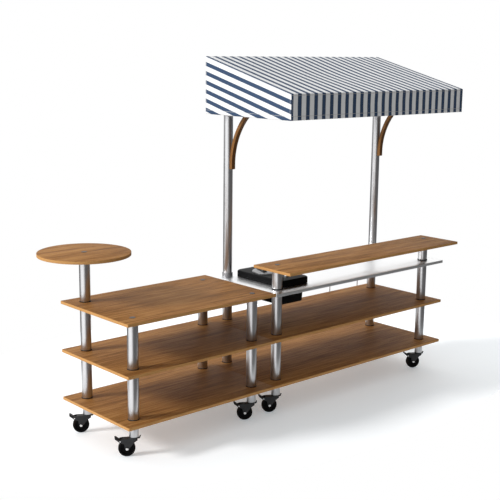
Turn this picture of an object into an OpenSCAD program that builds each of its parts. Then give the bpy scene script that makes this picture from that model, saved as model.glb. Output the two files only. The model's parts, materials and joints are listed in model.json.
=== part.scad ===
// Push vending cart: two shelf units on swivel casters, a round table, a counter,
// a worktop with a lidded food well, and a striped canopy on two masts.
// Millimetres, +X to the right, +Y to the back, +Z up.

/* [Shelf units] */
// Depth of both units, front to back
unit_depth = 695; // [560:5:900]
// Length of the left unit
left_length = 1115; // [800:5:1500]
// Length of the right unit
right_length = 1665; // [1300:5:2200]
// Thickness of every wood board
board_t = 18; // [12:1:24]
// Height of the bottom shelves' top face above the floor
bottom_shelf_z = 220; // [210:1:260]
// Height from one shelf's top face to the next
tier = 300; // [240:5:400]
// Rounding of the boards' upright corners
board_corner_r = 5; // [2:1:10]

/* [Posts] */
// Outer diameter of the post tubes
post_d = 65; // [50:1:80]
// Wall of the post and mast tubes
tube_wall = 2; // [1.5:0.5:4]
// Distance from a unit's edges to its post centres
post_inset = 106; // [95:1:140]
// Diameter of the clamp rods inside the posts
rod_d = 12; // [10:1:16]
// Height of the rubber ring at each post's foot
ring_h = 5; // [3:1:10]
// How far the rubber rings stand out from the post
ring_lip = 1.5; // [1:0.5:5]
// Diameter of the cap over each clamp rod's end
cap_d = 34; // [20:1:45]
// Thickness of the cap
cap_t = 2; // [1:0.5:4]
// Depth of the shallow seats in the boards for the posts and caps
seat_t = 1; // [0.5:0.5:3]

/* [Round table] */
// Diameter of the round table top
table_d = 554; // [400:2:700]

/* [Worktop and counter] */
// Thickness of the worktop's edge
worktop_t = 20; // [14:1:30]
// Thickness of the folded steel sheet over the worktop's core
sheet_t = 2; // [1:0.5:3]
// How far the worktop's top face lies below the left unit's top shelf
worktop_drop = 4; // [0:1:40]
// Width of the lip of the grommets where posts pass through the worktop
grommet_lip = 2.5; // [2:0.5:8]
// Height of the grommets above the worktop
grommet_h = 6; // [4:1:15]
// Height of the counter board above the worktop
counter_rise = 157; // [120:1:260]
// Width of the counter board, front to back
counter_w = 333; // [250:1:420]
// How far the counter board stands out in front of the unit
counter_overhang = 132; // [60:1:180]
// How far the counter board is set to the left of the unit
counter_shift = 13; // [0:1:30]
// Diameter of the slim rods that hold up the worktop's back edge
back_rod_d = 7; // [5:1:12]
// Distance between the slim rods
back_rod_pitch = 304; // [200:2:400]
// Distance from the last slim rod to the right back mast's centre
back_rod_gap = 48; // [44:1:100]

/* [Food well] */
// Length of the well's rim, left to right
rim_w = 254; // [230:2:310]
// Depth of the well's rim, front to back
rim_depth = 456; // [400:2:480]
// Height of the rim above the worktop
rim_h = 44; // [30:1:60]
// Corner radius of the rim
rim_r = 42; // [24:1:60]
// Distance from the rim to the nearest grommet or mast socket on its left
well_gap = 2.5; // [1:0.5:200]
// Distance from the right unit's front edge to the rim
well_front = 101; // [60:1:110]
// Depth of the well's body below the worktop's top face
well_depth = 124; // [80:1:160]
// How much narrower the body is than the rim, on each side
well_step_x = 14; // [10:1:22]
// How much shorter the body is than the rim, at each end
well_step_y = 30; // [16:1:50]
// Diameter of the round pot opening
pot_d = 182; // [140:2:184]
// Distance from the pot opening to the back of the well's body
pot_margin = 58; // [10:1:80]
// How far the lid's edge stands out past the pot opening
lid_lip = 6; // [4:1:8]
// Height of the lid
lid_h = 10; // [8:1:20]
// Diameter of the control knob
knob_d = 26; // [18:1:36]
// Height of the control knob
knob_h = 12; // [8:1:22]

/* [Canopy] */
// Outer diameter of the canopy masts
mast_d = 60; // [48:1:70]
// Height of the canopy's lower edge above the floor
canopy_bottom_z = 1890; // [1750:5:2100]
// Height of the canopy's front
valance_h = 158; // [120:2:240]
// Height of the canopy's back
canopy_back_h = 368; // [300:2:480]
// How far the canopy stands out in front of the unit
canopy_overhang = 100; // [0:5:300]
// Thickness of the canopy cover
cover_t = 3; // [2:0.5:6]
// Width of the square bars of the canopy frame
bar_w = 25; // [20:1:35]
// Outer radius of the curved braces
brace_r = 456; // [380:2:480]
// Radial thickness of the braces
brace_t = 24; // [16:1:34]
// Width of the braces
brace_w = 30; // [20:1:40]
// Straight length at the lower end of a brace
brace_tail = 28; // [10:1:60]

/* [Casters] */
// Diameter of the wheels
wheel_d = 100; // [90:1:104]
// Width of the wheels' tread
wheel_w = 28; // [24:1:34]
// Distance from the swivel axis to the wheel's axle
trail = 41; // [35:1:44]
// Direction in which the wheels trail, from the right hand side
caster_angle = 148.5; // [0:0.5:360]
// Diameter of the sleeves between the casters and the bottom shelves
sleeve_d = 56; // [50:1:64]
// Diameter of the swivel pins
kingpin_d = 12; // [10:1:14]
// Diameter of the wheels' axle bolts
axle_d = 10; // [8:1:12]
// Diameter of the brake pedals' pins
pedal_pin_d = 8; // [6:1:9]

/* [Hidden] */
$fn = 72;

// Clearances
run_gap = 0.05;      // radial, pin in bore
slip_gap = 0.2;      // radial, fixed piece in its hole
face_gap = 0.4;      // between pieces that move past each other
drop_gap = 1;        // all round, the well's body in the worktop's cut-out
cover_gap = 1;       // between the canopy's frame and its cover

// Heights
middle_shelf_z = bottom_shelf_z + tier;
top_shelf_z = middle_shelf_z + tier;
table_z = top_shelf_z + tier;
worktop_z = top_shelf_z - worktop_drop;
counter_z = worktop_z + counter_rise;
rim_top_z = worktop_z + rim_h;
canopy_front_z = canopy_bottom_z + valance_h;
canopy_back_z = canopy_bottom_z + canopy_back_h;

// Plan of the units, from the left unit's front left corner
seam_x = left_length;
cart_length = left_length + right_length;
front_y = post_inset;
back_y = unit_depth - post_inset;
post_at = [
    [post_inset, front_y], [post_inset, back_y],
    [seam_x - post_inset, front_y], [seam_x - post_inset, back_y],
    [seam_x + post_inset, front_y], [seam_x + post_inset, back_y],
    [cart_length - post_inset, front_y], [cart_length - post_inset, back_y]];
TABLE_POST = 1;
MASTS = [5, 7];
COUNTER_POSTS = [4, 6];
SHELF_POSTS = [0, 2, 3];

mast_x = [post_at[MASTS[0]][0], post_at[MASTS[1]][0]];
back_rod_x = [mast_x[1] - back_rod_gap, mast_x[1] - back_rod_gap - back_rod_pitch];
back_rod_y = unit_depth - back_rod_d;

// The origin is under the middle of the whole cart's box, on the floor
table_r = table_d / 2;
counter_left = seam_x - counter_shift;
counter_right = cart_length - counter_shift;
box_left = min(0, post_inset - table_r);
box_right = cart_length;
box_front = min(0, -counter_overhang, -canopy_overhang);
box_back = max(unit_depth, back_y + table_r);
origin = [(box_left + box_right) / 2, (box_front + box_back) / 2, 0];

// Mast sockets
socket_d = mast_d + 10;
socket_floor = 4;
socket_h = 26;
mast_foot_z = worktop_z + socket_floor;

// Posts and the worktop
ring_d = post_d + 2 * ring_lip;
grommet_d = post_d + 2 * grommet_lip;

// Food well
well_left = seam_x + post_inset + max(grommet_d, socket_d) / 2 + well_gap;
well_at = [well_left + rim_w / 2, well_front + rim_depth / 2];
body_w = rim_w - 2 * well_step_x;
body_depth = rim_depth - 2 * well_step_y;
body_r = rim_r - 12;
body_z = worktop_z - well_depth;
body_t = 2.5;
rim_t = 4;
rim_edge = 6;
pot_r = pot_d / 2;
pot_t = 1.5;
pot_z = body_z + 24;
pot_at = well_at + [0, body_depth / 2 - pot_r - pot_margin];
flange_r = pot_r + lid_lip + 2;
flange_z = rim_top_z + 2;
lid_r = pot_r + lid_lip;
lid_flat_r = lid_r - 8;
lid_plug = 6;
lid_skin = 2;
strap_w = 26;
strap_t = 4;
strap_rise = 8;
strap_turn = 68;
strap_shift = 0.4 * lid_r;
strap_half = sqrt(pow(lid_flat_r, 2) - pow(strap_shift + strap_w / 2, 2)) - 1;
knob_shaft_d = 8;
knob_shaft_l = 12;
knob_at = [well_at[0], (well_front + pot_at[1] - pot_r) / 2];

// Canopy outline, seen from the side
canopy_depth = unit_depth + canopy_overhang;
roof_slope = (canopy_back_h - valance_h) / canopy_depth;
function roof_z(y) = canopy_front_z + (y + canopy_overhang) * roof_slope;
frame_front = -canopy_overhang + cover_t + cover_gap;
frame_back = unit_depth - cover_t - cover_gap;
frame_left = seam_x + cover_t + cover_gap;
frame_right = cart_length - cover_t - cover_gap;
frame_drop = (cover_t + cover_gap) * sqrt(1 + roof_slope * roof_slope);
function frame_z(y) = roof_z(y) - frame_drop;
low_bar_z = canopy_bottom_z + 8;
rafter_drop = bar_w * sqrt(1 + roof_slope * roof_slope);
rafter_y = [frame_front + bar_w, frame_back - bar_w];
back_rail_z = frame_z(rafter_y[1]);
mast_top_z = frame_z(back_y - mast_d / 2) - rafter_drop;
arm_top_z = frame_z(frame_front);
arm_z = arm_top_z - bar_w;
brace_y = back_y - mast_d / 2;
brace_centre = [brace_y - brace_r, arm_z - brace_r];

// Casters, seen from the side: distance out along the trail, then height
hood_top_z = 109;
head_top_z = 117;
sleeve_z = head_top_z + 1;
kingpin_top_z = 164;
kingpin_hole_z = kingpin_top_z + 4;
sleeve_top_z = bottom_shelf_z - board_t;
rod_bite = 0.7 * (sleeve_top_z - kingpin_hole_z);
hood_t = 6;
plate_t = 4;
hub_w = wheel_w + 3.2;
plate_in = hub_w / 2 + face_gap / 2;
plate_out = plate_in + plate_t;
pedal_half = plate_in - face_gap;
axle_z = wheel_d / 2;
pedal_pin = [80, 95];
pedal_throw = 22;
shoe_reach = norm([pedal_pin[0] - trail, pedal_pin[1] - axle_z]) - wheel_d / 2 - face_gap;
shoe_angle = atan2(axle_z - pedal_pin[1], trail - pedal_pin[0]) + pedal_throw;

wood = [0.60, 0.42, 0.24];
wood_brace = [0.50, 0.32, 0.14];
steel = [0.74, 0.74, 0.75];
sheet_steel = [0.90, 0.91, 0.92];
black = [0.08, 0.08, 0.09];
dark_grey = [0.20, 0.21, 0.22];
canopy_blue = [0.27, 0.36, 0.49];

// ---- Shared shapes ----

module in_frame() {
    translate(-origin) children();
}

module rounded_plan(w, d, r) {
    square([w - 2 * r, d], center = true);
    square([w, d - 2 * r], center = true);
    for (sx = [-1, 1], sy = [-1, 1])
        translate([sx * (w / 2 - r), sy * (d / 2 - r)]) circle(r);
}

module slab(x0, x1, y0, y1, top, t, r) {
    translate([(x0 + x1) / 2, (y0 + y1) / 2, top - t])
        linear_extrude(t) rounded_plan(x1 - x0, y1 - y0, r);
}

module tube(at, z0, z1, outer_d, wall) {
    translate([at[0], at[1], z0])
        difference() {
            cylinder(h = z1 - z0, d = outer_d);
            translate([0, 0, -1]) cylinder(h = z1 - z0 + 2, d = outer_d - 2 * wall);
        }
}

module rod_hole(at, top, t) {
    translate([at[0], at[1], top - t - 1]) cylinder(h = t + 2, d = rod_d + 2 * slip_gap);
}

module bar(x0, x1, y0, y1, z0, z1) {
    translate([x0, y0, z0]) cube([x1 - x0, y1 - y0, z1 - z0]);
}

// An outline in the YZ plane, drawn out along X from x0 to x1
module side_extrude(x0, x1) {
    translate([x0, 0, 0]) rotate([90, 0, 90]) linear_extrude(x1 - x0) children();
}

// ---- Boards ----

// A shallow seat in a board's top face for a piece of diameter d
module seat(at, top, d) {
    translate([at[0], at[1], top - seat_t]) cylinder(h = seat_t + 1, d = d + 2 * slip_gap);
}

// A shelf with seats for posts, for caps and for the slim rods at the back
module shelf(x0, x1, top, posts, capped = [], slim_x = []) {
    in_frame() color(wood) difference() {
        slab(x0, x1, 0, unit_depth, top, board_t, board_corner_r);
        for (i = concat(posts, capped)) rod_hole(post_at[i], top, board_t);
        for (i = posts) seat(post_at[i], top, ring_d);
        for (i = capped) seat(post_at[i], top, cap_d);
        for (x = slim_x) seat([x, back_rod_y], top, back_rod_d);
    }
}

module round_table_top() {
    in_frame() color(wood) difference() {
        translate([post_at[TABLE_POST][0], post_at[TABLE_POST][1], table_z - board_t])
            cylinder(h = board_t, r = table_r, $fn = 144);
        rod_hole(post_at[TABLE_POST], table_z, board_t);
        seat(post_at[TABLE_POST], table_z, cap_d);
    }
}

module counter_board() {
    in_frame() color(wood) difference() {
        slab(counter_left, counter_right, -counter_overhang, counter_w - counter_overhang,
            counter_z, board_t, board_corner_r);
        for (i = COUNTER_POSTS) rod_hole(post_at[i], counter_z, board_t);
        for (i = COUNTER_POSTS) seat(post_at[i], counter_z, cap_d);
    }
}

// ---- Posts, rods and rings ----

// Tubes that stand in their seats on the boards, one up to each height in tops
module post(i, feet, tops) {
    in_frame() color(steel)
        for (k = [0 : len(feet) - 1])
            tube(post_at[i], feet[k] - seat_t, tops[k] - board_t, post_d, tube_wall);
}

module shelf_post(i) {
    post(i, [bottom_shelf_z, middle_shelf_z], [middle_shelf_z, top_shelf_z]);
}

module table_post(i) {
    post(i, [bottom_shelf_z, middle_shelf_z, top_shelf_z], [middle_shelf_z, top_shelf_z, table_z]);
}

module counter_post(i) {
    post(i, [bottom_shelf_z, middle_shelf_z], [middle_shelf_z, counter_z]);
}

module mast_post(i) {
    post(i, [bottom_shelf_z, middle_shelf_z], [middle_shelf_z, worktop_z - worktop_t + board_t]);
}

module post_ring(at, foot, top, outer_d) {
    tube(at, foot, top, outer_d, (outer_d - post_d) / 2 - slip_gap);
}

module post_rings() {
    in_frame() color(black) {
        for (at = post_at, z = [bottom_shelf_z, middle_shelf_z])
            post_ring(at, z - seat_t, z + ring_h, ring_d);
        post_ring(post_at[TABLE_POST], top_shelf_z - seat_t, top_shelf_z + ring_h, ring_d);
        for (i = COUNTER_POSTS) post_ring(post_at[i], worktop_z, worktop_z + grommet_h, grommet_d);
    }
}

module post_cap(at, z) {
    translate([at[0], at[1], z - seat_t]) cylinder(h = seat_t + cap_t, d = cap_d);
}

module post_caps() {
    in_frame() color(steel) {
        for (i = SHELF_POSTS) post_cap(post_at[i], top_shelf_z);
        for (i = COUNTER_POSTS) post_cap(post_at[i], counter_z);
        post_cap(post_at[TABLE_POST], table_z);
    }
}

module clamp_rod(at, top) {
    foot = sleeve_top_z - rod_bite;
    translate([at[0], at[1], foot]) cylinder(h = top - foot, d = rod_d);
}

// A rod under a mast ends in a nut on the socket's floor
module mast_rod(at) {
    nut_h = 10;
    clamp_rod(at, mast_foot_z);
    translate([at[0], at[1], mast_foot_z]) cylinder(h = nut_h, d = 2 * rod_d, $fn = 6);
}

module clamp_rods() {
    in_frame() color(steel) {
        for (i = SHELF_POSTS) clamp_rod(post_at[i], top_shelf_z - seat_t);
        for (i = COUNTER_POSTS) clamp_rod(post_at[i], counter_z - seat_t);
        clamp_rod(post_at[TABLE_POST], table_z - seat_t);
        for (i = MASTS) mast_rod(post_at[i]);
    }
}

module caster_sleeves() {
    in_frame() color(steel)
        for (at = post_at) translate([at[0], at[1], 0]) difference() {
            translate([0, 0, sleeve_z]) cylinder(h = sleeve_top_z - sleeve_z, d = sleeve_d);
            translate([0, 0, sleeve_z - 1])
                cylinder(h = kingpin_hole_z - sleeve_z + 1, d = kingpin_d + 2 * run_gap);
            translate([0, 0, sleeve_top_z - rod_bite])
                cylinder(h = rod_bite + 1, d = rod_d + 2 * slip_gap);
        }
}

// ---- Worktop ----

// Holes for the counter posts, the mast rods and the well's body
module worktop_holes() {
    drop = worktop_t + 2;
    for (i = COUNTER_POSTS)
        translate([post_at[i][0], post_at[i][1], worktop_z - worktop_t - 1])
            cylinder(h = drop, d = post_d + 2 * slip_gap);
    for (i = MASTS) rod_hole(post_at[i], worktop_z, worktop_t);
    translate([well_at[0], well_at[1], worktop_z - worktop_t - 1])
        linear_extrude(drop) rounded_plan(body_w + 2 * drop_gap, body_depth + 2 * drop_gap, body_r);
}

module worktop() {
    core_left = seam_x + face_gap + sheet_t;
    in_frame() color(sheet_steel) difference() {
        slab(seam_x + face_gap, cart_length, 0, unit_depth, worktop_z, worktop_t, board_corner_r);
        slab(core_left, cart_length - sheet_t, sheet_t, unit_depth - sheet_t,
            worktop_z - sheet_t, worktop_t, board_corner_r - sheet_t / 2);
        worktop_holes();
    }
}

module worktop_core() {
    edge = sheet_t + slip_gap;
    in_frame() color(wood) difference() {
        slab(seam_x + face_gap + edge, cart_length - edge, edge, unit_depth - edge,
            worktop_z - sheet_t, worktop_t - sheet_t, board_corner_r - edge / 2);
        worktop_holes();
    }
}

module back_support_rods() {
    foot = middle_shelf_z - seat_t;
    in_frame() color(steel)
        for (x = back_rod_x) translate([x, back_rod_y, foot])
            cylinder(h = worktop_z - worktop_t - foot, d = back_rod_d);
}

// ---- Food well ----

module well_rim() {
    inner_w = rim_w - 2 * rim_t;
    inner_depth = rim_depth - 2 * rim_t;
    in_frame() color(black) difference() {
        translate([well_at[0], well_at[1], worktop_z]) {
            linear_extrude(rim_h - rim_edge) rounded_plan(rim_w, rim_depth, rim_r);
            translate([0, 0, rim_h - rim_edge]) linear_extrude(rim_edge)
                rounded_plan(rim_w - rim_edge, rim_depth - rim_edge, rim_r - rim_edge / 2);
        }
        translate([well_at[0], well_at[1], worktop_z - 1])
            linear_extrude(rim_h - rim_t + 1) rounded_plan(inner_w - 4, inner_depth - 4, rim_r - rim_t - 2);
        translate([pot_at[0], pot_at[1], worktop_z]) cylinder(h = rim_h + 1, r = pot_r + pot_t + slip_gap);
        translate([knob_at[0], knob_at[1], worktop_z])
            cylinder(h = rim_h + 1, d = knob_shaft_d + 2 * run_gap);
    }
}

// The casing that hangs through the worktop, with a socket for the mains lead low on its back
module well_body() {
    inlet = [50, 24, 28];
    recess = [27, 10, 20];
    casing_h = rim_top_z - rim_t - body_z;
    in_frame() color(black) translate([well_at[0], well_at[1], body_z]) difference() {
        union() {
            linear_extrude(casing_h) rounded_plan(body_w, body_depth, body_r);
            translate([-inlet[0] / 2, body_depth / 2 - body_t, inlet[2] / 2]) cube(inlet);
        }
        translate([0, 0, body_t]) linear_extrude(casing_h)
            rounded_plan(body_w - 2 * body_t, body_depth - 2 * body_t, body_r - body_t);
        translate([-recess[0] / 2, body_depth / 2 - body_t + inlet[1] - recess[1], inlet[2] - recess[2] / 2])
            cube([recess[0], recess[1] + 1, recess[2]]);
    }
}

module well_pot() {
    outer_r = pot_r + pot_t;
    in_frame() color(steel) translate([pot_at[0], pot_at[1], 0]) rotate_extrude()
        polygon([[0, pot_z], [outer_r, pot_z], [outer_r, rim_top_z], [flange_r, rim_top_z],
            [flange_r, flange_z], [pot_r, flange_z], [pot_r, pot_z + pot_t], [0, pot_z + pot_t]]);
}

module well_lid() {
    plug_r = pot_r - face_gap;
    in_frame() color(steel) translate([pot_at[0], pot_at[1], flange_z]) rotate_extrude()
        polygon([[0, lid_h], [lid_flat_r, lid_h], [lid_r - 2, lid_h - 3], [lid_r, lid_h - 5], [lid_r, 0],
            [plug_r, 0], [plug_r, -lid_plug], [plug_r - lid_skin, -lid_plug],
            [plug_r - lid_skin, lid_h - 5], [lid_flat_r - 8, lid_h - lid_skin], [0, lid_h - lid_skin]]);
}

// A flat strap bridged over the lid, with its two feet on the lid's flat top
module lid_strap() {
    bend = strap_half - 11;
    span = bend - 7;
    top = lid_h + strap_rise;
    in_frame() color(black) translate([pot_at[0], pot_at[1], flange_z]) rotate([0, 0, strap_turn])
        across(strap_shift - strap_w / 2, strap_shift + strap_w / 2)
            polygon([[-strap_half, lid_h], [-bend, lid_h], [-span, top], [span, top],
                [bend, lid_h], [strap_half, lid_h], [strap_half, lid_h + strap_t],
                [bend + 2, lid_h + strap_t], [span + 2, top + strap_t],
                [-span - 2, top + strap_t], [-bend - 2, lid_h + strap_t],
                [-strap_half, lid_h + strap_t]]);
}

module control_knob() {
    skirt_h = 3;
    in_frame() color(steel) translate([knob_at[0], knob_at[1], rim_top_z + face_gap]) difference() {
        union() {
            cylinder(h = skirt_h, d = knob_d + 6);
            cylinder(h = knob_h, d = knob_d);
            translate([0, 0, -knob_shaft_l]) cylinder(h = knob_shaft_l + 1, d = knob_shaft_d);
        }
        translate([-1, knob_d / 6, knob_h - 2]) cube([2, knob_d / 2, 3]);
    }
}

// ---- Canopy ----

module mast(i) {
    in_frame() color(steel) tube(post_at[MASTS[i]], mast_foot_z, mast_top_z, mast_d, tube_wall);
}

module mast_sockets() {
    in_frame() color(steel)
        for (i = MASTS) translate([post_at[i][0], post_at[i][1], worktop_z]) difference() {
            cylinder(h = socket_h, d = socket_d);
            translate([0, 0, socket_floor]) cylinder(h = socket_h, d = mast_d + 2 * slip_gap);
            translate([0, 0, -1]) cylinder(h = socket_floor + 2, d = rod_d + 2 * slip_gap);
        }
}

// A quarter ring that leaves the mast upright and meets the canopy's arm level
module brace(i) {
    c = brace_centre;
    inner_r = brace_r - brace_t;
    in_frame() color(wood_brace) side_extrude(mast_x[i] - brace_w / 2, mast_x[i] + brace_w / 2) {
        difference() {
            translate(c) circle(brace_r, $fn = 180);
            translate(c) circle(inner_r, $fn = 180);
            translate([c[0] - brace_r - 1, c[1] - brace_r - 1]) square([brace_r + 1, 2 * brace_r + 2]);
            translate([c[0] - 1, c[1] - brace_r - 1]) square([brace_r + 2, brace_r + 1]);
        }
        translate([c[0] + inner_r, c[1] - brace_tail]) square([brace_t, brace_tail]);
    }
}

// Bars that run the length of the canopy, between its corner uprights
module canopy_rails() {
    x0 = frame_left + bar_w;
    x1 = frame_right - bar_w;
    in_frame() color(steel) {
        bar(x0, x1, frame_front, rafter_y[0], low_bar_z, low_bar_z + bar_w);
        bar(x0, x1, rafter_y[1], frame_back, low_bar_z, low_bar_z + bar_w);
        bar(x0, x1, frame_front, rafter_y[0], arm_z, arm_top_z);
        bar(x0, x1, rafter_y[1], frame_back, back_rail_z - bar_w, back_rail_z);
    }
}

// A sloped roof bar from the front rail to the back rail
module rafter(x) {
    side_extrude(x - bar_w / 2, x + bar_w / 2)
        polygon([[rafter_y[0], frame_z(rafter_y[0]) - rafter_drop],
            [rafter_y[1], frame_z(rafter_y[1]) - rafter_drop],
            [rafter_y[1], frame_z(rafter_y[1])], [rafter_y[0], frame_z(rafter_y[0])]]);
}

// A welded frame at each end, and a rafter with a level arm over each mast
module canopy_bars() {
    in_frame() color(steel) {
        for (x = [frame_left + bar_w / 2, frame_right - bar_w / 2]) {
            x0 = x - bar_w / 2;
            x1 = x + bar_w / 2;
            bar(x0, x1, frame_front, rafter_y[0], low_bar_z, arm_top_z);
            bar(x0, x1, rafter_y[1], frame_back, low_bar_z, back_rail_z);
            bar(x0, x1, rafter_y[0], rafter_y[1], low_bar_z, low_bar_z + bar_w);
            rafter(x);
        }
        for (x = mast_x) {
            rafter(x);
            bar(x - bar_w / 2, x + bar_w / 2, rafter_y[0], brace_y, arm_z, arm_top_z);
        }
    }
}

module canopy_outline() {
    polygon([[-canopy_overhang, canopy_bottom_z], [unit_depth, canopy_bottom_z],
        [unit_depth, canopy_back_z], [-canopy_overhang, canopy_front_z]]);
}

module canopy_inside() {
    y0 = -canopy_overhang + cover_t;
    y1 = unit_depth - cover_t;
    roof_t = cover_t * sqrt(1 + roof_slope * roof_slope);
    polygon([[y0, canopy_bottom_z - 1], [y1, canopy_bottom_z - 1],
        [y1, roof_z(y1) - roof_t], [y0, roof_z(y0) - roof_t]]);
}

module canopy_cover() {
    in_frame() color(canopy_blue) difference() {
        side_extrude(seam_x, cart_length) canopy_outline();
        side_extrude(seam_x + cover_t, cart_length - cover_t) canopy_inside();
    }
}

// ---- Casters ----

// Stands children on post i, turned so that the local X axis is the trail
module at_caster(i) {
    in_frame() translate([post_at[i - 1][0], post_at[i - 1][1], 0]) rotate([0, 0, caster_angle])
        children();
}

// A side outline of the caster, drawn out across it from v0 to v1
module across(v0, v1) {
    translate([0, v1, 0]) rotate([90, 0, 0]) linear_extrude(v1 - v0) children();
}

module cheek_outline() {
    boss_r = axle_d / 2 + 6;
    polygon([[-20, hood_top_z], [66, hood_top_z], [86, 104], [88, 92], [78, 86], [58, 78],
        [trail + boss_r, axle_z], [trail - 7, axle_z - 8], [0, 84], [-20, 98]]);
    translate([trail, axle_z]) circle(boss_r);
}

module release_tab_outline() {
    polygon([[-16, 103], [-16, hood_top_z], [-29, hood_top_z + 1], [-37, 122], [-40, 121], [-33, 104]]);
}

module axle_bolt() {
    head_t = 6;
    head_v = plate_out + slip_gap;
    across(-head_v - head_t, head_v + head_t) translate([trail, axle_z]) circle(d = axle_d);
    for (side = [0, 1]) mirror([0, side, 0]) across(head_v, head_v + head_t)
        translate([trail, axle_z]) circle(d = 1.7 * axle_d, $fn = 6);
}

module pedal_pin_rod() {
    across(-plate_out, plate_out) translate(pedal_pin) circle(d = pedal_pin_d);
}

// The pressed fork with its swivel pin, and the loose axle bolt and pedal pin
module fork(i) {
    tab_half = 6;
    at_caster(i) color(dark_grey) {
        difference() {
            union() {
                for (side = [0, 1]) mirror([0, side, 0]) across(plate_in, plate_out) cheek_outline();
                translate([-20, -plate_out, hood_top_z - hood_t]) cube([86, 2 * plate_out, hood_t]);
                translate([0, 0, hood_top_z - 1])
                    cylinder(h = head_top_z - hood_top_z + 1, d = sleeve_d - 4);
                translate([0, 0, hood_top_z]) cylinder(h = kingpin_top_z - hood_top_z, d = kingpin_d);
                across(-tab_half, tab_half) release_tab_outline();
            }
            across(-plate_out - 1, plate_out + 1) {
                translate([trail, axle_z]) circle(d = axle_d + 2 * slip_gap);
                translate(pedal_pin) circle(d = pedal_pin_d + 2 * slip_gap);
            }
        }
        axle_bolt();
        pedal_pin_rod();
    }
}

module wheel(i) {
    r = wheel_d / 2;
    rim_r = r - 14;
    hub_r = 13;
    web_half = 5;
    crown = 4;
    pockets = 5;
    pocket_d = 14;
    pocket_depth = 3.5;
    at_caster(i) color(black) translate([trail, 0, axle_z]) rotate([90, 0, 0]) difference() {
        rotate_extrude($fn = 120) polygon([[axle_d / 2 + run_gap, -hub_w / 2], [hub_r, -hub_w / 2],
            [hub_r, -web_half], [rim_r, -web_half], [rim_r, -wheel_w / 2], [r - crown, -wheel_w / 2],
            [r - 1, -wheel_w / 2 + crown], [r, 0], [r - 1, wheel_w / 2 - crown],
            [r - crown, wheel_w / 2], [rim_r, wheel_w / 2], [rim_r, web_half], [hub_r, web_half],
            [hub_r, hub_w / 2], [axle_d / 2 + run_gap, hub_w / 2]]);
        for (k = [0 : pockets - 1]) for (side = [0, 1]) rotate([0, 0, 360 * k / pockets]) mirror([0, 0, side])
            translate([(hub_r + rim_r) / 2, 0, web_half - pocket_depth])
                cylinder(h = pocket_depth + 1, d = pocket_d);
    }
}

module pedal(i) {
    hub_r = pedal_pin_d / 2 + 3;
    shoe_r = 3;
    at_caster(i) color(black) difference() {
        across(-pedal_half, pedal_half) {
            polygon([pedal_pin + [-4, 6], pedal_pin + [6, -5], [98, 99], [110, 109],
                [111, 117], [104, 120], [89, 108]]);
            translate(pedal_pin) circle(hub_r);
            translate(pedal_pin + (shoe_reach - shoe_r) * [cos(shoe_angle), sin(shoe_angle)]) circle(shoe_r);
        }
        across(-plate_out, plate_out) translate(pedal_pin) circle(d = pedal_pin_d + 2 * run_gap);
    }
}

// ---- Nodes ----

shelf(0, seam_x, bottom_shelf_z, [0, 1, 2, 3]);  // left_shelf_bottom
shelf(0, seam_x, middle_shelf_z, [0, 1, 2, 3]);  // left_shelf_middle
shelf(0, seam_x, top_shelf_z, [TABLE_POST], SHELF_POSTS);  // left_shelf_top
shelf(seam_x + face_gap, cart_length, bottom_shelf_z, [4, 5, 6, 7]);  // right_shelf_bottom
shelf(seam_x + face_gap, cart_length, middle_shelf_z, [4, 5, 6, 7], [], back_rod_x);  // right_shelf_middle
shelf_post(0);  // left_post_front_left
table_post(TABLE_POST);  // left_post_back_left
shelf_post(2);  // left_post_front_right
shelf_post(3);  // left_post_back_right
counter_post(4);  // right_post_front_left
mast_post(5);  // right_post_back_left
counter_post(6);  // right_post_front_right
mast_post(7);  // right_post_back_right
post_rings();
post_caps();
clamp_rods();
round_table_top();
worktop();
worktop_core();
back_support_rods();
counter_board();
well_body();
well_rim();
well_pot();
well_lid();
lid_strap();
control_knob();
mast(0);  // mast_left
mast(1);  // mast_right
mast_sockets();
brace(0);  // brace_left
brace(1);  // brace_right
canopy_rails();
canopy_bars();
canopy_cover();
caster_sleeves();
for (i = [1 : 8]) {
    fork(i);
    wheel(i);
    pedal(i);
}
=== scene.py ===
"""Push vending cart: the finished look of every piece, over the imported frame.

Metres, +X right, +Y back, +Z up."""

import json
import math

import bmesh
import bpy
from mathutils import Matrix, Vector


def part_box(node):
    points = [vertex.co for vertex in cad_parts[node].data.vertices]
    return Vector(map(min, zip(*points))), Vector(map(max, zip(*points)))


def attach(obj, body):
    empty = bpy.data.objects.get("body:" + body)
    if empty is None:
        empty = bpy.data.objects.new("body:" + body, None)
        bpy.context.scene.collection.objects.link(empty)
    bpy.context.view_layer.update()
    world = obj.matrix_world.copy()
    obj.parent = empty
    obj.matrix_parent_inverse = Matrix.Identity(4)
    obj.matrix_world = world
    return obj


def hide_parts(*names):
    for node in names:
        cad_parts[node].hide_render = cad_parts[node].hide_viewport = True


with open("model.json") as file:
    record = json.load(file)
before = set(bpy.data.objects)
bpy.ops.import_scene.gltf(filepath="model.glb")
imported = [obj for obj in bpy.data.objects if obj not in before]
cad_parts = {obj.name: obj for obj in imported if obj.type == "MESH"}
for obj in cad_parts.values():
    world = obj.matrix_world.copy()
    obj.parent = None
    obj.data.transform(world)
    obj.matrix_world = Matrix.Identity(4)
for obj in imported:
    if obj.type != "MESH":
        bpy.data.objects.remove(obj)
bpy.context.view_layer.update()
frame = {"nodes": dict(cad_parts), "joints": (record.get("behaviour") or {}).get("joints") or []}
scene = bpy.context.scene
joints = {joint["name"]: joint for joint in frame["joints"]}


# ---- Camera, floor and light ----

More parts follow.
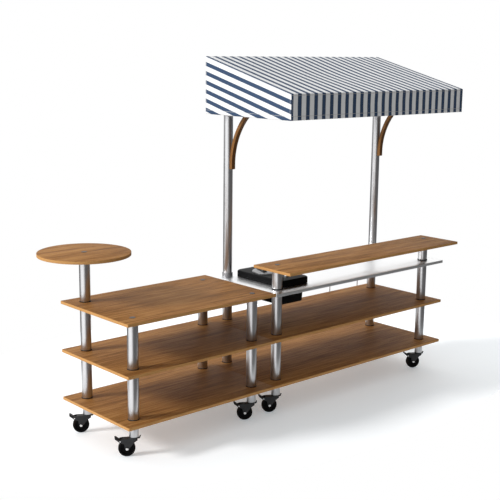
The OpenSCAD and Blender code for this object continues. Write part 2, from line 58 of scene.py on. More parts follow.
def add_camera(place, yaw, pitch, roll, lens):
    """A camera turned by yaw about Z, tipped down by pitch and rolled, in degrees."""
    yaw, pitch, roll = math.radians(yaw), math.radians(pitch), math.radians(roll)
    back = Vector((math.sin(yaw) * math.cos(pitch), -math.cos(yaw) * math.cos(pitch), math.sin(pitch)))
    level = (-back).cross(Vector((0, 0, 1))).normalized()
    upright = back.cross(level)
    right = math.cos(roll) * level + math.sin(roll) * upright
    up = math.cos(roll) * upright - math.sin(roll) * level
    data = bpy.data.cameras.new("camera")
    data.sensor_width = 36
    data.lens = lens
    data.clip_end = 200
    camera = bpy.data.objects.new("camera", data)
    scene.collection.objects.link(camera)
    camera.matrix_world = Matrix.Translation(place) @ Matrix((right, up, back)).transposed().to_4x4()
    scene.camera = camera


add_camera((-4.35924, -4.75593, 2.29933), yaw=-41.96, pitch=11.25, roll=0.63, lens=72.44)
scene.view_settings.view_transform = "Standard"
scene.view_settings.look = "None"


# ---- Shader maths ----

class Value:
    """A socket in a shader. Arithmetic on it adds the Math nodes."""

    def __init__(self, shading, socket):
        self.shading = shading
        self.socket = socket

    def math(self, operation, *terms):
        return self.shading.node("ShaderNodeMath", {"operation": operation}, dict(enumerate(terms)))

    def __add__(self, other):
        return self.math("ADD", self, other)

    def __radd__(self, other):
        return self.math("ADD", other, self)

    def __sub__(self, other):
        return self.math("SUBTRACT", self, other)

    def __rsub__(self, other):
        return self.math("SUBTRACT", other, self)

    def __mul__(self, other):
        return self.math("MULTIPLY", self, other)

    def __rmul__(self, other):
        return self.math("MULTIPLY", other, self)

    def __truediv__(self, other):
        return self.math("DIVIDE", self, other)

    def __pow__(self, other):
        return self.math("POWER", self, other)

    def __abs__(self):
        return self.math("ABSOLUTE", self)

    def fraction(self):
        return self.math("FRACT", self)

    def root(self):
        return self.math("SQRT", self)

    def most(self, other):
        return self.math("MAXIMUM", self, other)

    def between(self, low, high):
        """0 at low and under, 1 at high and over, smooth between."""
        return self.shading.node(
            "ShaderNodeMapRange", {"interpolation_type": "SMOOTHSTEP"},
            {"Value": self, "From Min": low, "From Max": high},
        )


class Shading:
    """A node tree, with one method that adds any node but the Math ones."""

    def __init__(self, tree):
        self.tree = tree

    def node(self, kind, settings=(), values=(), output=0):
        made = self.tree.nodes.new(kind)
        for name, value in dict(settings).items():
            if name == "stops":
                stops = made.color_ramp.elements
                while len(stops) < len(value):
                    stops.new(0.5)
                for stop, (position, colour) in zip(stops, value):
                    stop.position = position
                    stop.color = (*colour, 1)
            else:
                setattr(made, name, value)
        for name, value in dict(values).items():
            self.feed(made.inputs[name], value)
        return Value(self, made.outputs[output]) if made.outputs else None

    def feed(self, socket, value):
        if isinstance(value, Value):
            self.tree.links.new(value.socket, socket)
        elif hasattr(value, "__len__") and len(value) == 3 and socket.type == "RGBA":
            socket.default_value = (*value, 1)
        else:
            socket.default_value = value

    def place(self):
        return self.node("ShaderNodeTexCoord", output="Object")

    def split(self, vector):
        made = self.node("ShaderNodeSeparateXYZ", values={0: vector}).socket.node
        return [Value(self, made.outputs[i]) for i in range(3)]

    def join(self, x, y, z):
        return self.node("ShaderNodeCombineXYZ", values={0: x, 1: y, 2: z})

    def stretch(self, vector, scale):
        return self.node("ShaderNodeVectorMath", {"operation": "MULTIPLY"}, {0: vector, 1: scale})

    def noise(self, vector, scale, detail=2.0, roughness=0.5, distortion=0.0):
        return self.node(
            "ShaderNodeTexNoise",
            values={
                "Vector": vector, "Scale": scale, "Detail": detail,
                "Roughness": roughness, "Distortion": distortion,
            },
        )

    def ramp(self, value, stops):
        return self.node("ShaderNodeValToRGB", {"stops": stops}, {0: value})

    def mix(self, mask, first, second):
        return self.node("ShaderNodeMix", {"data_type": "RGBA"}, {0: mask, 6: first, 7: second}, output=2)

    def bump(self, height, distance, strength=1.0):
        return self.node("ShaderNodeBump", values={"Height": height, "Distance": distance, "Strength": strength})


class Finish(Shading):
    """A material with a Principled shader. Constants sit on the shader's own sockets."""

    def __init__(self, name, **constants):
        self.material = bpy.data.materials.new(name)
        self.material.use_nodes = True
        super().__init__(self.material.node_tree)
        self.shader = self.tree.nodes["Principled BSDF"]
        for socket, value in constants.items():
            self.set(socket, value)

    def set(self, socket, value):
        names = {"specular": "Specular IOR Level", "colour": "Base Color"}
        name = names.get(socket) or socket.replace("_", " ").title()
        self.feed(self.shader.inputs[name], value)


# ---- Studio ----

def light_studio():
    """A bright screen on the left, a white wall behind, a dark room to the front right.

    The camera itself sees plain white."""
    world = bpy.data.worlds.new("studio")
    scene.world = world
    world.use_nodes = True
    world.node_tree.nodes.clear()
    air = Shading(world.node_tree)
    x, y, z = air.split(air.node("ShaderNodeTexCoord", output="Generated"))
    flat = (x * x + y * y).root().most(0.001)
    left = (-1.0 * x - 0.12 * y) / flat
    back = (0.35 * x + 0.94 * y) / flat
    screen = left.between(0.55, 0.92) * (1 - z.between(0.45, 0.9))
    wall = back.between(0.0, 0.75) * z.between(-0.03, 0.05)
    over = z.between(0.25, 0.8)
    level = (0.15 + screen * 1.35).most(wall * 1.15).most(over * 0.60)
    lit = air.node("ShaderNodeBackground", values={"Color": (1, 1, 1), "Strength": level})
    plain = air.node("ShaderNodeBackground", values={"Color": (1, 1, 1), "Strength": 1.0})
    seen = air.node("ShaderNodeLightPath", output="Is Camera Ray")
    both = air.node("ShaderNodeMixShader", values={0: seen, 1: lit, 2: plain})
    air.node("ShaderNodeOutputWorld", values={"Surface": both})


def add_sun(aim, strength, spread):
    data = bpy.data.lights.new("sun", "SUN")
    data.energy = strength
    data.angle = math.radians(spread)
    sun = bpy.data.objects.new("sun", data)
    scene.collection.objects.link(sun)
    sun.rotation_euler = Vector(aim).to_track_quat("-Z", "Y").to_euler()


def add_floor(centre, half_length, half_depth):
    """A round white studio floor."""
    shape = bmesh.new()
    place = Matrix.Translation(centre) @ Matrix.Diagonal((half_length, half_depth, 1, 1))
    bmesh.ops.create_circle(shape, cap_ends=True, segments=128, radius=1, matrix=place)
    mesh = bpy.data.meshes.new("floor")
    shape.to_mesh(mesh)
    shape.free()
    floor = bpy.data.objects.new("floor", mesh)
    scene.collection.objects.link(floor)
    paint = Finish(
        "floor_white", roughness=0.75, specular=0.25,
        emission_color=(0.82, 0.93, 1.0), emission_strength=0.27,
    )
    cloud = paint.noise(paint.place(), 0.35, 3)
    paint.set("colour", paint.mix(cloud, (0.87, 0.87, 0.87), (0.89, 0.89, 0.89)))
    mesh.materials.append(paint.material)


light_studio()
add_floor((0.35, 0.52, 0), 2.6, 1.62)
add_sun((0.80, -0.30, -0.52), 2.2, 12)


# ---- Finishes ----

def wood(name, tint=(1.0, 1.0, 1.0)):
    """Open-grained brown veneer under matt oil, its grain along X, with lighter edge banding."""
    f = Finish(name, specular=0.05)
    place = f.place()
    streaks = f.noise(f.stretch(place, (1.3, 30.0, 30.0)), 2.6, 8, 0.72, 0.3)
    bands = f.noise(f.stretch(place, (0.8, 9.0, 9.0)), 1.8, 4, 0.55, 0.8)
    pores = f.noise(f.stretch(place, (9.0, 360.0, 360.0)), 1.0, 3, 0.6)
    tone = (streaks * 0.68 + bands * 0.32).between(0.34, 0.66)
    dark, middle, light = ([c * t for c, t in zip(colour, tint)] for colour in (
        (0.150, 0.063, 0.016), (0.288, 0.129, 0.036), (0.425, 0.216, 0.072)))
    figure = f.ramp(tone, [(0.0, dark), (0.5, middle), (1.0, light)])
    line = pores.between(0.56, 0.72)
    grained = f.mix(line * 0.6, figure, [c * 0.6 for c in dark])
    upright = abs(f.split(f.node("ShaderNodeNewGeometry", output="Normal"))[2])
    banding = f.mix(pores.between(0.4, 0.7), (0.52, 0.28, 0.105), (0.38, 0.19, 0.065))
    f.set("colour", f.mix(upright.between(0.25, 0.65), banding, grained))
    f.set("roughness", 0.52 + streaks * 0.12 + line * 0.2)
    f.set("normal", f.bump(streaks * 0.3 - line, 0.00025, 0.6))
    return f.material


def bent_wood(name, centre_y, centre_z):
    """Laminated wood whose layers follow the bend."""
    f = Finish(name, roughness=0.4, coat_weight=0.05, coat_roughness=0.3, specular=0.2)
    place = f.place()
    x, y, z = f.split(place)
    radius = ((y - centre_y) ** 2 + (z - centre_z) ** 2).root()
    layer = radius / 0.004
    seam = abs(layer.fraction() - 0.5).between(0.40, 0.48)
    grain = f.noise(f.join(x * 60, layer, (y - z) * 5), 1.4, 5, 0.6, 0.2)
    fine = f.noise(f.join(x * 600, layer * 6, (y - z) * 12), 1.0, 3, 0.6)
    tone = (grain * 0.7 + fine * 0.3).between(0.3, 0.7)
    dark, middle, light = (0.105, 0.043, 0.010), (0.200, 0.086, 0.021), (0.290, 0.135, 0.038)
    body = f.ramp(tone, [(0.0, dark), (0.5, middle), (1.0, light)])
    f.set("colour", f.mix(seam * 0.55, body, (0.09, 0.04, 0.014)))
    f.set("roughness", 0.34 + grain * 0.16)
    f.set("normal", f.bump(fine - seam, 0.0002, 0.6))
    return f.material


def brushed_tube(name, colour, rough):
    """Steel tube ground lengthwise: fine hairlines up the tube, faint clouding."""
    f = Finish(name, metallic=1.0, specular=0.5)
    place = f.place()
    hair = f.noise(f.stretch(place, (900.0, 900.0, 3.0)), 1.0, 2, 0.6)
    cloud = f.noise(place, 7.0, 3)
    tint = (hair * 0.5 + cloud * 0.5).between(0.25, 0.75)
    f.set("colour", f.mix(tint, [c * 0.95 for c in colour], [min(1, c * 1.04) for c in colour]))
    f.set("roughness", rough + hair * 0.05 + cloud * 0.03)
    f.set("normal", f.bump(hair, 0.00002, 0.15))
    return f.material


def turned_steel(name, colour, rough, centre=None):
    """Steel faced in a lathe, with fine rings and light wear."""
    f = Finish(name, metallic=1.0)
    place = f.place()
    if centre is not None:
        x, y, z = f.split(place)
        ring = ((x - centre[0]) ** 2 + (y - centre[1]) ** 2).root()
        rings = f.noise(f.join(ring * 1400, z * 400, 0.0), 1.0, 2)
    else:
        rings = f.noise(f.stretch(place, (60.0, 60.0, 900.0)), 1.0, 2)
    wear = f.noise(place, 40.0, 4)
    f.set("colour", f.mix(wear, tuple(c * 0.85 for c in colour), colour))
    f.set("roughness", rough + rings * 0.10 + wear * 0.06)
    f.set("normal", f.bump(rings, 0.00005, 0.5))
    return f.material


def brushed_sheet(name):
    """Stainless sheet brushed along X."""
    f = Finish(name, metallic=1.0)
    place = f.place()
    hair = f.noise(f.stretch(place, (5.0, 700.0, 700.0)), 1.0, 3, 0.6)
    smear = f.noise(f.stretch(place, (1.5, 7.0, 7.0)), 1.0, 4)
    f.set("colour", f.mix(hair, (0.86, 0.865, 0.87), (0.94, 0.942, 0.945)))
    f.set("roughness", 0.26 + hair * 0.08 + smear * 0.10)
    f.set("normal", f.bump(hair, 0.00004, 0.3))
    return f.material


def rubber(name, colour=(0.012, 0.012, 0.013), specular=0.3):
    """Matt black rubber with dust in its pores."""
    f = Finish(name, specular=specular)
    place = f.place()
    pore = f.noise(place, 900, 2)
    dust = f.noise(place, 30, 5, 0.7)
    f.set("colour", f.mix(dust.between(0.5, 0.8) * 0.5, colour, tuple(c * 3.2 for c in colour)))
    f.set("roughness", 0.55 + pore * 0.2)
    f.set("normal", f.bump(pore, 0.00012, 0.5))
    return f.material


def moulded(name, colour, rough=0.38, grain=650, specular=0.35):
    """Moulded or powder-coated black, with a fine orange peel and rubbed spots."""
    f = Finish(name, specular=specular)
    place = f.place()
    peel = f.noise(place, grain, 2)
    rub = f.noise(place, 25, 5, 0.65)
    f.set("colour", f.mix(rub.between(0.45, 0.75), colour, tuple(c * 1.5 for c in colour)))
    f.set("roughness", rough + peel * 0.10 + rub * 0.10)
    f.set("normal", f.bump(peel, 0.00010, 0.4))
    return f.material


def polished(name, colour):
    """Bright plating with faint haze."""
    f = Finish(name, metallic=1.0)
    haze = f.noise(f.place(), 120, 3)
    f.set("colour", f.mix(haze, colour, tuple(c * 0.9 for c in colour)))
    f.set("roughness", 0.06 + haze * 0.10)
    return f.material


def striped_cloth(name):
    """Coated awning cloth. In the stripes map U counts the stripe pairs and V runs along them in metres;
    in the stitches map U runs along the nearest seam or hem and V is the distance from it."""
    f = Finish(name, specular=0.12, sheen_weight=0.03)
    uv = f.node("ShaderNodeUVMap", {"uv_map": "stripes"})
    across, along, _ = f.split(uv)
    place = f.place()
    blot = f.noise(place, 3.0, 4, 0.6)
    yarn = f.noise(f.stretch(place, (420.0, 420.0, 420.0)), 1.0, 3, 0.65)
    wander = (f.noise(f.join(0.0, along * 30, 3.0), 1.0, 2) - 0.5) * 0.012
    step = (across + wander).fraction()
    blue = step.between(0.006, 0.02) * (1 - step.between(0.46, 0.474))
    white = f.mix(blot, (0.72, 0.725, 0.73), (0.79, 0.795, 0.795))
    slate = f.mix(blot, (0.022, 0.047, 0.100), (0.030, 0.060, 0.120))
    cloth = f.mix(blue, white, slate)
    worn = f.mix(yarn.between(0.3, 0.8) * 0.07, cloth, (0.42, 0.44, 0.47))
    warp = abs((across * 57).fraction() - 0.5)
    weft = abs((along * 830).fraction() - 0.5)
    run, off, _ = f.split(f.node("ShaderNodeUVMap", {"uv_map": "stitches"}))
    thread = (1 - abs(off - 0.009).between(0.0005, 0.0011)) * (run / 0.007).fraction().between(0.25, 0.35)
    # Along each seam and hem this mask paints the cloth darker, which is painted shade in the fold. The same
    # mask also sinks the fold in the bump.
    fold_and_painted_shade = 1 - abs(off - 0.009).between(0.0010, 0.0060)
    f.set("colour", f.mix(thread, f.mix(fold_and_painted_shade * 0.18, worn, (0.10, 0.11, 0.13)), (0.72, 0.71, 0.68)))
    f.set("roughness", 0.66 + yarn * 0.2)
    f.set("normal", f.bump(warp.most(weft) * 0.3 + yarn * 0.25 + thread * 1.5 - fold_and_painted_shade, 0.0006, 0.45))
    return f.material


# ---- Shapes ----

def piece(shape, name, body, finishes, stands_for=(), crease=35):
    """Makes a finished object of a bmesh: rides on the body and replaces the named CAD nodes."""
    mesh = bpy.data.meshes.new(name)
    shape.to_mesh(mesh)
    shape.free()
    obj = bpy.data.objects.new(name, mesh)
    scene.collection.objects.link(obj)
    for finish in finishes if isinstance(finishes, (list, tuple)) else [finishes]:
        mesh.materials.append(finish)
    if crease:
        mesh.shade_smooth()
        mesh.set_sharp_from_angle(angle=math.radians(crease))
    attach(obj, body)
    if stands_for:
        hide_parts(*([stands_for] if isinstance(stands_for, str) else stands_for))
    return obj


def soften(shape, edges, radius, segments=3):
    """Rounds edges over."""
    return bmesh.ops.bevel(
        shape, geom=list(edges), offset=radius, offset_type="OFFSET", segments=segments, profile=0.5,
        affect="EDGES", material=-1, clamp_overlap=True,
    )


def sharp(shape, degrees=30):
    limit = math.radians(degrees)
    return [e for e in shape.edges if len(e.link_faces) == 2 and e.calc_face_angle(0) > limit]


def block(low, high):
    """A box between two corners."""
    shape = bmesh.new()
    low, high = Vector(low), Vector(high)
    size = high - low
    place = Matrix.Translation((low + high) / 2) @ Matrix.Diagonal((*size, 1))
    bmesh.ops.create_cube(shape, size=1, matrix=place)
    return shape


def board(low, high, corner, edge):
    """A box with round upright corners and eased edges."""
    shape = block(low, high)
    uprights = [e for e in shape.edges if abs(e.verts[0].co.z - e.verts[1].co.z) > 1e-5]
    soften(shape, uprights, corner, 5)
    soften(shape, sharp(shape, 60), edge, 3)
    return shape


def turned(profile, at=(0, 0, 0), steps=64, rounding=0.0, closed=True):
    """A profile of (radius, height) points spun about Z. Rounding eases its corners."""
    shape = bmesh.new()
    points = [shape.verts.new((r, 0, z)) for r, z in profile]
    pairs = list(zip(points, points[1:])) + ([(points[-1], points[0])] if closed else [])
    for first, second in pairs:
        shape.edges.new((first, second))
    if rounding:
        corners = [v for v in shape.verts if v.co.x > 1e-6 and len(v.link_edges) == 2]
        bmesh.ops.bevel(
            shape, geom=corners, offset=rounding, offset_type="OFFSET", segments=3, profile=0.5,
            affect="VERTICES", material=-1, clamp_overlap=True,
        )
    bmesh.ops.spin(
        shape, geom=list(shape.verts) + list(shape.edges), cent=(0, 0, 0), axis=(0, 0, 1),
        angle=2 * math.pi, steps=steps, use_merge=True,
    )
    bmesh.ops.remove_doubles(shape, verts=list(shape.verts), dist=1e-6)
    bmesh.ops.recalc_face_normals(shape, faces=list(shape.faces))
    bmesh.ops.translate(shape, verts=list(shape.verts), vec=Vector(at))
    return shape


def pipe(low, high, outer, wall, at, rounding=0.0006, steps=72):
    inner = outer - wall
    return turned([(inner, low), (outer, low), (outer, high), (inner, high)], (*at, 0), steps, rounding)


def gather(shapes):
    """Several bmeshes as one."""
    whole = bmesh.new()
    for shape in shapes:
        spare = bpy.data.meshes.new("spare")
        shape.to_mesh(spare)
        shape.free()
        whole.from_mesh(spare)
        bpy.data.meshes.remove(spare)
    return whole


def from_cad(node, ease=0.0, segments=2, flat=1.0):
    """A merged copy of a CAD node's mesh, its flat faces made whole and its sharp edges eased."""
    shape = bmesh.new()
    shape.from_mesh(frame["nodes"][node].data)
    bmesh.ops.remove_doubles(shape, verts=list(shape.verts), dist=1e-6)
    bmesh.ops.dissolve_limit(
        shape, angle_limit=math.radians(flat), verts=list(shape.verts), edges=list(shape.edges), delimit=set()
    )
    if ease:
        soften(shape, sharp(shape, 38), ease, segments)
    return shape


def islands(shape):
    """The shape's faces, grouped by what hangs together."""
    left = set(shape.faces)
    groups = []
    while left:
        stack = [left.pop()]
        group = set(stack)
        while stack:
            for edge in stack.pop().edges:
                for face in edge.link_faces:
                    if face in left:
                        left.discard(face)
                        group.add(face)
                        stack.append(face)
        groups.append(group)
    return groups


# ---- Boards ----

BOARDS = [
    "left_shelf_bottom", "left_shelf_middle", "left_shelf_top",
    "right_shelf_bottom", "right_shelf_middle", "counter_board",
]
veneer = wood("board_veneer")
for node in BOARDS:
    low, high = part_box(node)
    piece(board(low, high, 0.005, 0.0012), node + "_veneered", "cart", veneer, node)

low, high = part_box("round_table_top")
table_centre = ((low[0] + high[0]) / 2, (low[1] + high[1]) / 2)
table_r = (high[0] - low[0]) / 2
disc = turned(
    [(0, low[2]), (table_r, low[2]), (table_r, high[2]), (0, high[2])],
    (*table_centre, 0), 160, 0.0012, False)
piece(disc, "round_table_veneered", "cart", veneer, "round_table_top")

# ---- Posts, masts, rings and caps ----

tube_steel = brushed_tube("post_brushed_steel", (0.58, 0.58, 0.59), 0.28)
socket_steel = turned_steel("socket_turned_steel", (0.34, 0.34, 0.35), 0.40)
rod_steel = turned_steel("rod_bright_steel", (0.55, 0.55, 0.56), 0.25)
# The black rings at the post feet are painted shade: dark rings standing in for the contact shade where each
# post meets a board.
ring_painted_shade = rubber("ring_rubber")
cap_steel = turned_steel("cap_turned_steel", (0.12, 0.12, 0.125), 0.45)
swivels = [Vector(joints["swivel_%d" % i]["pos_m"]) for i in range(1, 9)]
shelf_tops = [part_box(node)[1][2] for node in ("left_shelf_bottom", "left_shelf_middle", "left_shelf_top")]
board_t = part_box("left_shelf_top")[1][2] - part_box("left_shelf_top")[0][2]
worktop_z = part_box("worktop")[0][2]
counter_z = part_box("counter_board")[1][2]
post_low, post_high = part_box("left_post_front_left")
post_r = (post_high[0] - post_low[0]) / 2
seat = shelf_tops[0] - post_low[2]

POSTS = {
    "left_post_front_left": (0, shelf_tops[0:2], shelf_tops[1:3]),
    "left_post_front_right": (2, shelf_tops[0:2], shelf_tops[1:3]),
    "left_post_back_right": (3, shelf_tops[0:2], shelf_tops[1:3]),
    "left_post_back_left": (1, shelf_tops, shelf_tops[1:] + [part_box("round_table_top")[1][2]]),
    "right_post_front_left": (4, shelf_tops[0:2], [shelf_tops[1], counter_z]),
    "right_post_front_right": (6, shelf_tops[0:2], [shelf_tops[1], counter_z]),
    "right_post_back_left": (5, shelf_tops[0:2], [shelf_tops[1], worktop_z + board_t]),
    "right_post_back_right": (7, shelf_tops[0:2], [shelf_tops[1], worktop_z + board_t]),
}
for node, (place, feet, tops) in POSTS.items():
    at = swivels[place].xy
    tubes = [pipe(foot - seat, top - board_t, post_r, 0.002, at) for foot, top in zip(feet, tops)]
    piece(gather(tubes), node + "_tubes", "cart", tube_steel, node)

for node, place in (("mast_left", 5), ("mast_right", 7)):
    low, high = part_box(node)
    mast = pipe(low[2], high[2], (high[0] - low[0]) / 2, 0.002, swivels[place].xy, steps=96)
    piece(mast, node + "_tube", "cart", tube_steel, node)

piece(from_cad("post_rings", 0.0006), "post_rings_painted_shade", "cart", ring_painted_shade, "post_rings")
piece(from_cad("post_caps", 0.0007), "post_caps_turned", "cart", cap_steel, "post_caps")
piece(from_cad("mast_sockets", 0.0012), "mast_sockets_turned", "cart", socket_steel, "mast_sockets")
piece(from_cad("clamp_rods", 0.0005), "clamp_rods_drawn", "cart", rod_steel, "clamp_rods")
piece(
    from_cad("back_support_rods", 0.0004), "back_support_rods_drawn", "cart", rod_steel,
    "back_support_rods")

# ---- Worktop ----

sheet_steel = brushed_sheet("worktop_brushed_sheet")
piece(from_cad("worktop", 0.0015, 3), "worktop_folded", "cart", sheet_steel, "worktop")
core = wood("core_board", (1.2, 1.3, 1.5))
frame["nodes"]["worktop_core"].data.materials.clear()
frame["nodes"]["worktop_core"].data.materials.append(core)

# ---- Food well ----

casing_black = moulded("well_casing", (0.004, 0.004, 0.0045), 0.40, specular=0.06)
lid_low, lid_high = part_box("well_lid")
pot_low, pot_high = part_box("well_pot")
rim_low, rim_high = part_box("well_rim")
lid_at = Vector(((lid_low[0] + lid_high[0]) / 2, (lid_low[1] + lid_high[1]) / 2, 0))
lid_r = (lid_high[0] - lid_low[0]) / 2
lid_steel = turned_steel("lid_spun_steel", (0.36, 0.36, 0.365), 0.36, lid_at)
strap_black = moulded("strap_black", (0.010, 0.010, 0.011), 0.45)
chrome = polished("knob_chrome", (0.80, 0.80, 0.81))


def ring_of_edges(shape, at, radius, steps):
    made = bmesh.ops.create_circle(shape, radius=radius, segments=steps, matrix=Matrix.Translation(at))
    return list({e for v in made["verts"] for e in v.link_edges})


def well_rim():
    """A rounded tray turned over, with the pot's round mouth in its top."""
    shape = block(rim_low, rim_high)
    uprights = [e for e in shape.edges if abs(e.verts[0].co.z - e.verts[1].co.z) > 1e-5]
    soften(shape, uprights, 0.042, 8)
    top = max(shape.faces, key=lambda face: face.calc_center_median().z)
    outline = list(top.edges)
    bmesh.ops.delete(shape, geom=[top], context="FACES_ONLY")
    mouth_r = (pot_high[0] - pot_low[0]) / 2 - 0.0068
    mouth = ring_of_edges(shape, (lid_at.x, lid_at.y, rim_high[2]), mouth_r, 64)
    bmesh.ops.bridge_loops(shape, edges=outline + mouth)
    walls = bmesh.ops.extrude_edge_only(shape, edges=mouth)
    lower = [v for v in walls["geom"] if isinstance(v, bmesh.types.BMVert)]
    bmesh.ops.translate(shape, verts=lower, vec=(0, 0, rim_low[2] - rim_high[2] + 0.004))
    bmesh.ops.recalc_face_normals(shape, faces=list(shape.faces))
    soften(shape, [e for e in outline if e.is_valid], 0.011, 6)
    low_edges = [e for e in shape.edges if all(abs(v.co.z - rim_low[2]) < 1e-5 for v in e.verts)]
    foot = [e for e in low_edges if not e.is_boundary]
    soften(shape, foot, 0.004, 3)
    return shape


piece(well_rim(), "well_rim_pressed", "cart", casing_black, "well_rim", crease=40)


def well_casing():
    """A tapered tub with rounded edges, open at the top. The socket for the mains lead on its back is built
    separately below.
    """
    low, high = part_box("well_body")
    back = low[1] + 0.36
    shape = block(low, (high[0], back, high[2]))
    for v in shape.verts:
        if v.co.z < low[2] + 1e-5:
            v.co.x += math.copysign(0.006, lid_at.x - v.co.x)
            v.co.y += math.copysign(0.006, (low[1] + back) / 2 - v.co.y)
    top = max(shape.faces, key=lambda face: face.calc_center_median().z)
    bmesh.ops.delete(shape, geom=[top], context="FACES_ONLY")
    uprights = [e for e in shape.edges if abs(e.verts[0].co.z - e.verts[1].co.z) > 1e-5]
    soften(shape, uprights, 0.030, 8)
    foot = [e for e in shape.edges if all(abs(v.co.z - low[2]) < 1e-5 for v in e.verts)]
    soften(shape, foot, 0.010, 5)
    return shape


tub = piece(well_casing(), "well_casing_tub", "cart", casing_black, "well_body", crease=40)
wall = tub.modifiers.new("wall", "SOLIDIFY")
wall.thickness = 0.0025
wall.offset = -1

body_low, body_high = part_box("well_body")
inlet_back = body_high[1]
inlet = block(
    (lid_at.x - 0.025, inlet_back - 0.030, body_low[2] + 0.014),
    (lid_at.x + 0.025, inlet_back, body_low[2] + 0.042))
face = max(inlet.faces, key=lambda f: f.calc_center_median().y)
bmesh.ops.inset_individual(inlet, faces=[face], thickness=0.005)
bmesh.ops.translate(inlet, verts=list(face.verts), vec=(0, -0.014, 0))
soften(inlet, sharp(inlet, 60), 0.001, 2)
piece(inlet, "power_inlet_shell", "cart", strap_black)
blades = gather([
    block(
        (lid_at.x + dx - 0.001, inlet_back - 0.014, body_low[2] + dz - 0.002),
        (lid_at.x + dx + 0.001, inlet_back - 0.004, body_low[2] + dz + 0.002))
    for dx, dz in ((-0.007, 0.026), (0.0, 0.031), (0.007, 0.026))
])
piece(blades, "power_inlet_blades", "cart", chrome)

pot_r = (pot_high[0] - pot_low[0]) / 2
pot_in = pot_r - 0.008
pot_wall = 0.0015
pot = turned(
    [(0, pot_low[2]), (pot_in + pot_wall, pot_low[2]), (pot_in + pot_wall, pot_high[2] - 0.002),
     (pot_r, pot_high[2] - 0.002), (pot_r, pot_high[2]), (pot_in, pot_high[2]),
     (pot_in, pot_low[2] + pot_wall), (0, pot_low[2] + pot_wall)],
    lid_at, 96, 0.0006, False)
piece(pot, "well_pot_spun", "cart", lid_steel, "well_pot")

lid_foot = pot_high[2]
crown = lid_high[2] - lid_foot
skirt_r = lid_r - 0.0066
lid = turned(
    [(0, crown), (lid_r * 0.45, crown), (lid_r - 0.014, crown - 0.0005),
     (lid_r - 0.004, crown - 0.0045), (lid_r, 0.0045), (lid_r, 0.0),
     (skirt_r, 0.0), (skirt_r, -0.006), (skirt_r - 0.002, -0.006), (skirt_r - 0.002, crown - 0.006),
     (lid_r - 0.018, crown - 0.003), (0, crown - 0.003)],
    (lid_at.x, lid_at.y, lid_foot), 96, 0.0012, False)
piece(lid, "well_lid_spun", "lid", lid_steel, "well_lid")
piece(from_cad("lid_strap", 0.0015, 3), "lid_strap_moulded", "lid", strap_black, "lid_strap")
piece(
    from_cad("control_knob", 0.0008, 2), "control_knob_plated", "knob", chrome,
    "control_knob")

# ---- Braces ----

for node in ("brace_left", "brace_right"):
    low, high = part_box(node)
    centre_y = low[1]
    centre_z = high[2] - (high[1] - low[1])
    laminate = bent_wood(node + "_laminate", centre_y, centre_z)
    piece(from_cad(node, 0.002, 3), node + "_bent", "cart", laminate, node)

# ---- Canopy ----

cover_low, cover_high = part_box("canopy_cover")
cover_mesh = frame["nodes"]["canopy_cover"].data
front_top = max(v.co.z for v in cover_mesh.vertices if v.co.y < cover_low[1] + 1e-4)
slope = (cover_high[2] - front_top) / (cover_high[1] - cover_low[1])
STRIPES_ACROSS = 24.28
stripe = (cover_high[0] - cover_low[0]) / STRIPES_ACROSS
side_stripe = 0.058
hem = 0.016
sag = 0.006
slack = 0.0012


def smooth_hump(t):
    return math.sin(math.pi * max(0.0, min(1.0, t))) ** 2


def below_roof(place):
    """Height of a point under the roof's plane."""
    return front_top + (place.y - cover_low[1]) * slope - place.z


def sewn_lines(side, roof):
    """For one panel of the cover: how far a point lies from each seam and hem, and its place along it."""
    drop = math.cos(math.atan(slope))
    up = 1 if roof else 2
    across = 0 if roof else 2
    level = 1 if side else 0
    ends = [lambda p: (p.x - cover_low[0], p[up]), lambda p: (cover_high[0] - p.x, p[up])]
    fronts = [lambda p: (p.y - cover_low[1], p[across]), lambda p: (cover_high[1] - p.y, p[across])]
    edges = [lambda p: (below_roof(p) * drop, p[level]), lambda p: (p.z - cover_low[2] - hem, p[level])]
    return (fronts if side else ends) + (fronts if roof else edges)


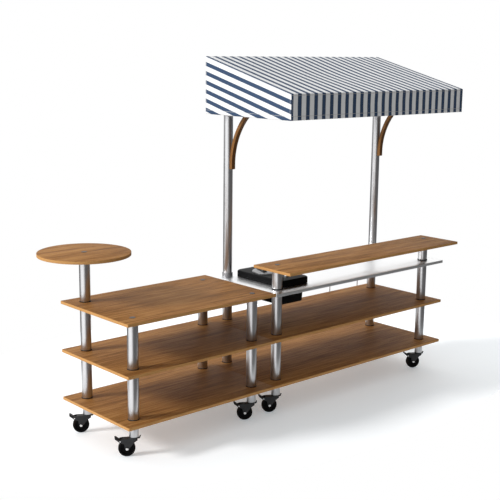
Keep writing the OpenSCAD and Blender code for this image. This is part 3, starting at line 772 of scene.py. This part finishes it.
def canopy_cloth():
    """One sewn sheet: roof, front and back valances and both sides, pulled over the frame and open below."""
    shape = block(cover_low, cover_high)
    for v in shape.verts:
        if v.co.y < cover_low[1] + 1e-5 and v.co.z > cover_low[2] + 1e-5:
            v.co.z = front_top
    open_side = min(shape.faces, key=lambda f: f.calc_center_median().z)
    bmesh.ops.delete(shape, geom=[open_side], context="FACES_ONLY")
    bmesh.ops.subdivide_edges(shape, edges=list(shape.edges), cuts=31, use_grid_fill=True)
    seams = sharp(shape, 20)
    soften(shape, seams, 0.006, 3)
    stripes = shape.loops.layers.uv.new("stripes")
    stitches = shape.loops.layers.uv.new("stitches")
    for face in shape.faces:
        side = abs(face.normal.x) > 0.7
        roof = face.normal.z > 0.7
        middle = face.calc_center_median()
        nearest = min(sewn_lines(side, roof), key=lambda line: line(middle)[0])
        for loop in face.loops:
            x, y, z = loop.vert.co
            if side:
                loop[stripes].uv = (below_roof(loop.vert.co) / side_stripe + 0.40, y)
            else:
                loop[stripes].uv = ((x - cover_low[0]) / stripe + 0.19, y if roof else z)
            off, run = nearest(loop.vert.co)
            loop[stitches].uv = (run, off)
    rafters = [cover_low[0], swivels[5].x, swivels[7].x, cover_high[0]]
    for v in shape.verts:
        x, y, z = v.co
        ahead = (y - cover_low[1]) / (cover_high[1] - cover_low[1])
        bay = max(i for i in range(3) if x >= rafters[i] - 1e-6)
        across = (x - rafters[bay]) / (rafters[bay + 1] - rafters[bay])
        width = rafters[bay + 1] - rafters[bay]
        if below_roof(v.co) < 0.003:
            v.co.z -= sag * width * smooth_hump(across) * smooth_hump(ahead)
            continue
        up = (z - cover_low[2]) / (front_top - cover_low[2])
        if abs(x - cover_low[0]) < 1e-4 or abs(x - cover_high[0]) < 1e-4:
            inwards = math.copysign(1, (cover_low[0] + cover_high[0]) / 2 - x)
            v.co.x += inwards * 0.002 * smooth_hump(up * 0.6) * smooth_hump(ahead)
        else:
            inwards = math.copysign(1, (cover_low[1] + cover_high[1]) / 2 - y)
            ripple = 1 + abs(math.sin(x * 9.0 + y * 7.0))
            v.co.y += inwards * slack * ripple * smooth_hump(up * 0.9) * smooth_hump(across)
    return shape


cloth = piece(
    canopy_cloth(), "canopy_cloth", "cart", striped_cloth("canopy_striped_cloth"),
    "canopy_cover", crease=0)
cloth.data.shade_smooth()
thick = cloth.modifiers.new("thickness", "SOLIDIFY")
thick.thickness = 0.0016
thick.offset = -1
bar_metal = turned_steel("frame_bar_aluminium", (0.70, 0.70, 0.71), 0.36)
for node in ("canopy_rails", "canopy_bars"):
    frame["nodes"][node].data.materials.clear()
    frame["nodes"][node].data.materials.append(bar_metal)

# ---- Casters ----

fork_paint = moulded("fork_powder_coat", (0.016, 0.0165, 0.018), 0.40, specular=0.30)
zinc = polished("bolt_zinc", (0.75, 0.75, 0.74))
tyre_black = rubber("wheel_tread", (0.009, 0.006, 0.005), 0.07)
centre_black = moulded("wheel_centre", (0.003, 0.003, 0.0033), 0.34, specular=0.05)
pedal_black = moulded("pedal_moulded", (0.009, 0.009, 0.010), 0.42, specular=0.22)
sleeve_steel = brushed_tube("sleeve_brushed_steel", (0.50, 0.50, 0.51), 0.26)
piece(
    from_cad("caster_sleeves", 0.0008), "caster_sleeves_turned", "cart", sleeve_steel,
    "caster_sleeves")

tread_r = 0.0375
for i in range(1, 9):
    fork = from_cad("fork_%d" % i, 0.0007)
    biggest = max(islands(fork), key=lambda group: sum(face.calc_area() for face in group))
    for face in fork.faces:
        face.material_index = 0 if face in biggest else 1
    piece(fork, "fork_%d_pressed" % i, "fork_%d" % i, [fork_paint, zinc], "fork_%d" % i)

    wheel = from_cad("wheel_%d" % i, 0.0007)
    axle = Vector(joints["roll_%d" % i]["pos_m"])
    along = Vector(joints["roll_%d" % i]["axis"]).normalized()
    for face in wheel.faces:
        out = face.calc_center_median() - axle
        face.material_index = 0 if (out - out.dot(along) * along).length > tread_r else 1
    wheel_name = "wheel_%d" % i
    piece(wheel, wheel_name + "_moulded", wheel_name, [tyre_black, centre_black], wheel_name)

    pedal_name = "pedal_%d" % i
    piece(from_cad(pedal_name, 0.0007), pedal_name + "_moulded", pedal_name, pedal_black, pedal_name)
